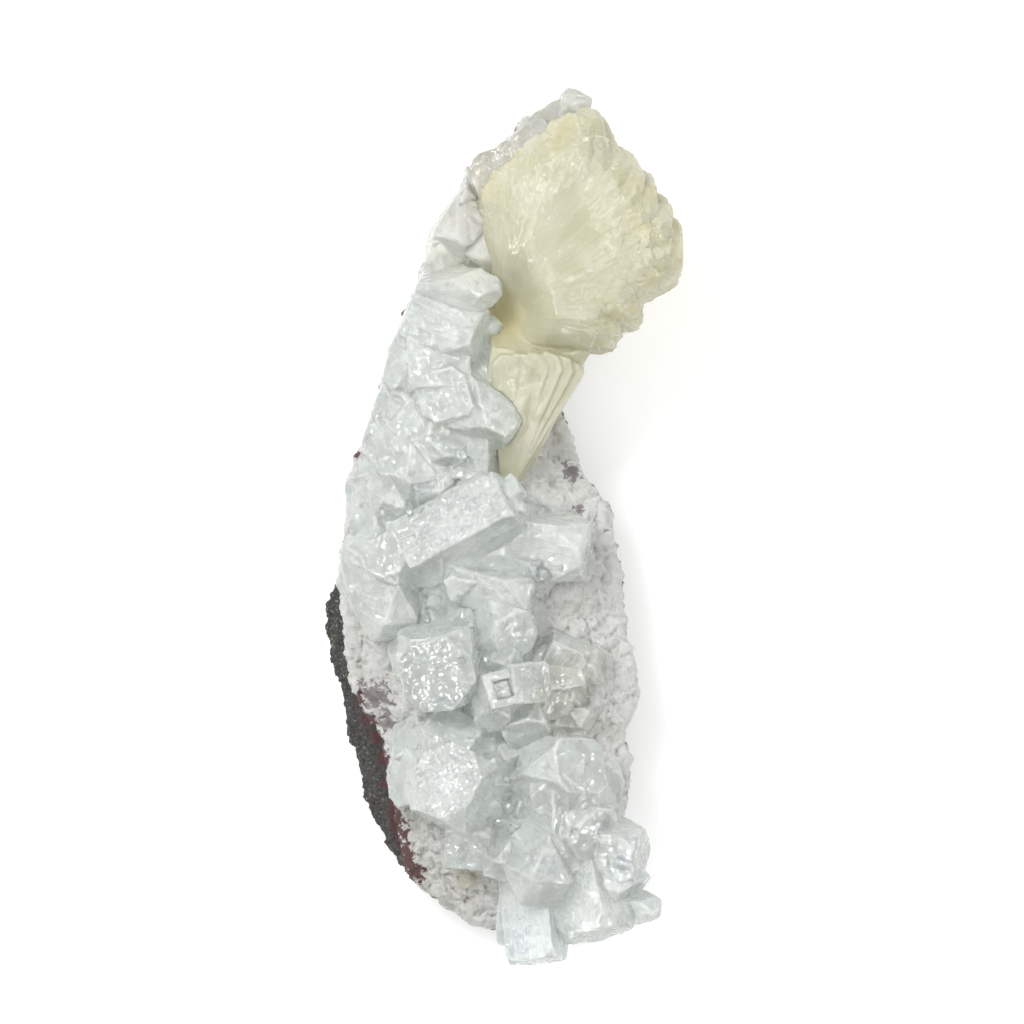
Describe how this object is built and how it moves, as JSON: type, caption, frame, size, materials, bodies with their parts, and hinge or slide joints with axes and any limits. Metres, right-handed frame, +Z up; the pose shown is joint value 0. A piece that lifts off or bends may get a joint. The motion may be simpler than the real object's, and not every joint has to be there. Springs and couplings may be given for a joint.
{
  "type": "apophyllite with stilbite specimen",
  "caption": "Crescent-shaped mineral specimen: blocky milky apophyllite crystals and a cream stilbite fan on white crust over dark basalt, lying on its flat broken back.",
  "frame": {"origin": "under the middle of the specimen's bounding box, on the surface that it lies on", "axes": "+X across the specimen, +Y along it towards the stilbite head, +Z up from its flat broken back to the crystals"},
  "size_m": [0.0574, 0.1398, 0.0322],
  "materials": {
    "basalt": "dark grey-black vesicular basalt, rough and dull, with pale and greenish specks and a thin red-brown altered rim under the crust",
    "crust": "white to cream finely crystalline crust, matt and crumbly, with small purple-grey stains",
    "apophyllite": "milky, see-through at the edges, glassy prism faces with fine striations and pearly rough end faces",
    "stilbite": "cream to pale yellow, waxy to pearly, slightly see-through, with fine radiating ribs"
  },
  "bodies": {
    "root": {"basalt_matrix": "basalt", "white_crust": "crust", "apophyllite_crystals": "apophyllite", "apophyllite_crown": "apophyllite", "stilbite_sheaves": "stilbite"}
  },
  "joints": []
}
